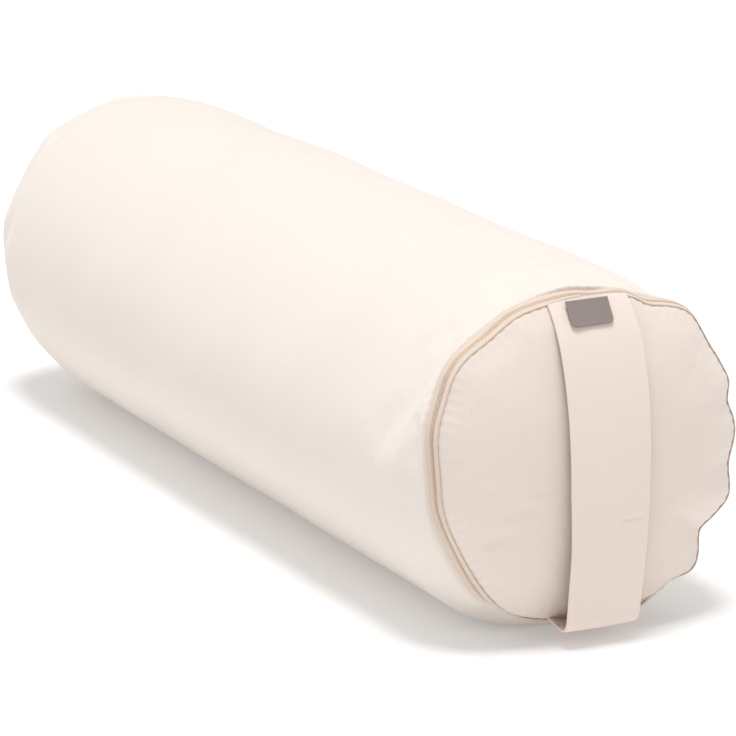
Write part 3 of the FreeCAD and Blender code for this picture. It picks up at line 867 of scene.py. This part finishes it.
def make_label():
    """A small woven tag, sewn in at the top, with rounded lower corners and a plain raised border."""
    width = label_high.y - label_low.y
    drop = math.hypot(label_high.x - label_low.x, label_high.z - label_low.z) - 0.3 * MM
    centre = (label_low.y + label_high.y) / 2
    top = np.array([label_low.x + 0.3 * MM, label_high.z])
    lean = math.atan2(label_high.x - label_low.x, label_high.z - label_low.z)
    down = np.array([math.sin(lean), -math.cos(lean)])
    out = np.array([math.cos(lean), math.sin(lean)])
    points = np.empty((TAG_ROWS, TAG_COLUMNS, 3))
    cloth = np.empty((TAG_ROWS, TAG_COLUMNS, 2))
    for row in range(TAG_ROWS):
        share = row / (TAG_ROWS - 1)
        depth = drop * share
        into = max(0.0, depth - (drop - TAG_CORNER))
        half = width / 2 - (TAG_CORNER - math.sqrt(max(0.0, TAG_CORNER ** 2 - into ** 2)))
        for column in range(TAG_COLUMNS):
            across = -1 + 2 * column / (TAG_COLUMNS - 1)
            y = centre + across * half
            edge = min(half - abs(y - centre), drop - depth)
            border = TAG_BORDER_HEIGHT * math.exp(-((edge - TAG_BORDER_IN) / TAG_BORDER_WIDTH) ** 2)
            curl = 0.5 * MM * share ** 2 - 0.35 * MM * (1 - abs(across)) * share
            place = top + down * depth + out * (border + curl)
            points[row, column] = (place[0], y, place[1])
            cloth[row, column] = (y, depth)
    label = grid_object("woven_tag", points, cloth, wrap=False)
    thicken(label, 0.6 * MM)
    dress(label, LABEL_CLOTH)
    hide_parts("woven_label")
    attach(label, "label")


# ---------------------------------------------------------------- inner cushion
CASE_GAP = 3.6 * MM                 # between the cover's outer face and the cushion
CASE_STEPS = 240
CASE_PUCKER = 0.4 * MM
CASE_MAP_STEP = 4 * MM


def make_inner_cushion():
    """The filled cushion inside the cover: a tube with a disc sewn in at each end."""
    disc_low, disc_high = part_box("inner_casing_front_disc")
    back_low, back_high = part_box("inner_casing_rear_disc")
    case_low, case_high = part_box("inner_casing_tube")
    rim = (disc_high.y - disc_low.y) / 2
    girth = (case_high.y - case_low.y) / 2
    front_seam = disc_low.x
    rear_seam = back_high.x + 1.5 * MM
    phi = np.linspace(-math.pi, math.pi, CASE_STEPS, endpoint=False)
    front_rim_inside = tube_form(np.array(BAND), phi)[0] - CASE_GAP
    rear_rim_inside = tube_form(np.array(REAR), phi)[0] - CASE_GAP
    rows = []

    def puckers(distance, seed):
        return stitch_puckers(phi * rim, distance, seed, height=CASE_PUCKER)

    def ring(x, radius, height):
        y, z = around(phi, radius, height)
        rows.append(np.stack([x + 0 * y, y, np.maximum(z, case_low.z)], axis=-1))

    def case_ring(x, pucker=0.0):
        radius, height, _ = tube_form(np.array(x), phi)
        ring(x, np.minimum(radius - CASE_GAP, girth) + pucker, height)

    for share in np.linspace(0.02, 1.0, 30):
        bulge = (disc_high.x - disc_low.x) * (1 - share ** 2.6)
        inward = (1 - share) * rim
        x = front_seam + bulge + puckers(inward, 51) - seam_tuck(inward)
        ring(x, share * front_rim_inside, RIM_HEIGHT)
    for distance in np.array([0.8, 2, 3.5, 5.5, 8, 11, 14, 18, 22, 26, 31, 36]) * MM:
        case_ring(front_seam - distance, puckers(distance, 52) - seam_tuck(distance))
    for x in np.linspace(front_seam - 0.045, rear_seam + 0.085, 40):
        case_ring(x)
    for x in rear_seam + np.arange(80.0, 1.0, -4.0) * MM:
        case_ring(x)
    for share in np.linspace(1.0, 0.03, 20):
        bulge = (rear_seam - back_low.x - 8 * MM) * (1 - share ** 2.6)
        inward = (1 - share) * rim
        x = rear_seam - bulge - puckers(inward, 53) + seam_tuck(inward)
        ring(x, share * rear_rim_inside, REAR_RIM_HEIGHT)
    points = np.array(rows)[::-1]
    along = np.arange(len(rows))[::-1] * CASE_MAP_STEP
    arc = np.append(phi, math.pi) * girth
    case_map = np.stack(np.broadcast_arrays(along[:, None], arc[None, :]), axis=-1)
    cushion = grid_object("inner_cushion", points, case_map, centre=(disc_high.x, 0.0, RIM_HEIGHT))
    dress(cushion, LINER_CLOTH)
    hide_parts("inner_casing_tube", "inner_casing_front_disc", "inner_casing_rear_disc", "filling")
    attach(cushion, "cover")


# ---------------------------------------------------------------- CAD pieces that stay
def dress_cad_pieces():
    dressed = {
        "zip_slider": METAL,
        "zip_pull": METAL,
        "zip_closed_end_stop": METAL,
        "zip_open_end_stop": METAL,
        "care_label": CARE_CLOTH,
    }
    for node, material in dressed.items():
        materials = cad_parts[node].data.materials
        materials.clear()
        materials.append(material)


# ---------------------------------------------------------------- studio
FLOOR_REACH = 30.0
GLOW_NEAR = 0.17                    # the floor's own glow beside the pillow
GLOW_FAR = 0.5                      # and away from it, which keeps the ground white
GLOW_START = 0.35
GLOW_END = 1.5


def floor_material():
    nodes = Nodes("white_floor")
    nodes.shader.inputs["Base Color"].default_value = (0.87, 0.87, 0.87, 1)
    nodes.shader.inputs["Roughness"].default_value = 0.8
    nodes.shader.inputs["Specular IOR Level"].default_value = 0.1
    nodes.shader.inputs["Emission Color"].default_value = (1, 1, 1, 1)
    where = nodes.add("TexCoord")
    distance = nodes.add("VectorMath", operation="LENGTH")
    nodes.link(where.outputs["Object"], distance.inputs[0])
    fade = nodes.add("MapRange")
    fade.inputs["From Min"].default_value = GLOW_START
    fade.inputs["From Max"].default_value = GLOW_END
    fade.inputs["To Min"].default_value = GLOW_NEAR
    fade.inputs["To Max"].default_value = GLOW_FAR
    nodes.link(distance.outputs["Value"], fade.inputs["Value"])
    nodes.link(fade.outputs["Result"], nodes.shader.inputs["Emission Strength"])
    return nodes.material


def make_floor():
    mesh = bpy.data.meshes.new("floor")
    far = FLOOR_REACH
    mesh.from_pydata([(-far, -far, 0), (far, -far, 0), (far, far, 0), (-far, far, 0)], [], [(0, 1, 2, 3)])
    mesh.materials.append(floor_material())
    link_object("floor", mesh)


def soft_light(name, place, size, power, target=(0.0, 0.0, 0.1)):
    light = bpy.data.lights.new(name, "AREA")
    light.shape = "DISK"
    light.size = size
    light.energy = power
    item = link_object(name, light)
    item.location = place
    item.rotation_euler = (Vector(target) - Vector(place)).to_track_quat("-Z", "Y").to_euler()


def make_studio():
    """White surroundings and one large soft light from above, a little towards the front end."""
    make_floor()
    world = bpy.data.worlds.new("studio")
    world.use_nodes = True
    surround = world.node_tree.nodes["Background"]
    surround.inputs["Color"].default_value = (1.0, 1.0, 1.0, 1)
    surround.inputs["Strength"].default_value = 0.57
    bpy.context.scene.world = world
    soft_light("key", place=(0.42, -0.27, 4.4), size=1.7, power=142)
    bpy.context.scene.view_settings.view_transform = "Standard"


def make_camera():
    """A long lens from about 2.7 m away, 0.8 m above the floor, as fitted to the photo."""
    azimuth = math.radians(62.81)
    elevation = math.radians(15.49)
    back = Vector((math.sin(azimuth) * math.cos(elevation), -math.cos(azimuth) * math.cos(elevation),
                   math.sin(elevation)))
    camera = bpy.data.cameras.new("camera")
    camera.lens = 202.7
    camera.clip_start = 0.1
    camera.clip_end = 50
    item = link_object("camera", camera)
    item.location = (2.3229, -1.1700, 0.8030)
    item.rotation_euler = back.to_track_quat("Z", "Y").to_euler()
    bpy.context.scene.camera = item


make_cover_tube()
make_end_panel()
make_rear_panel()
make_zip()
make_strap()
make_label()
make_inner_cushion()
dress_cad_pieces()
make_studio()
make_camera()
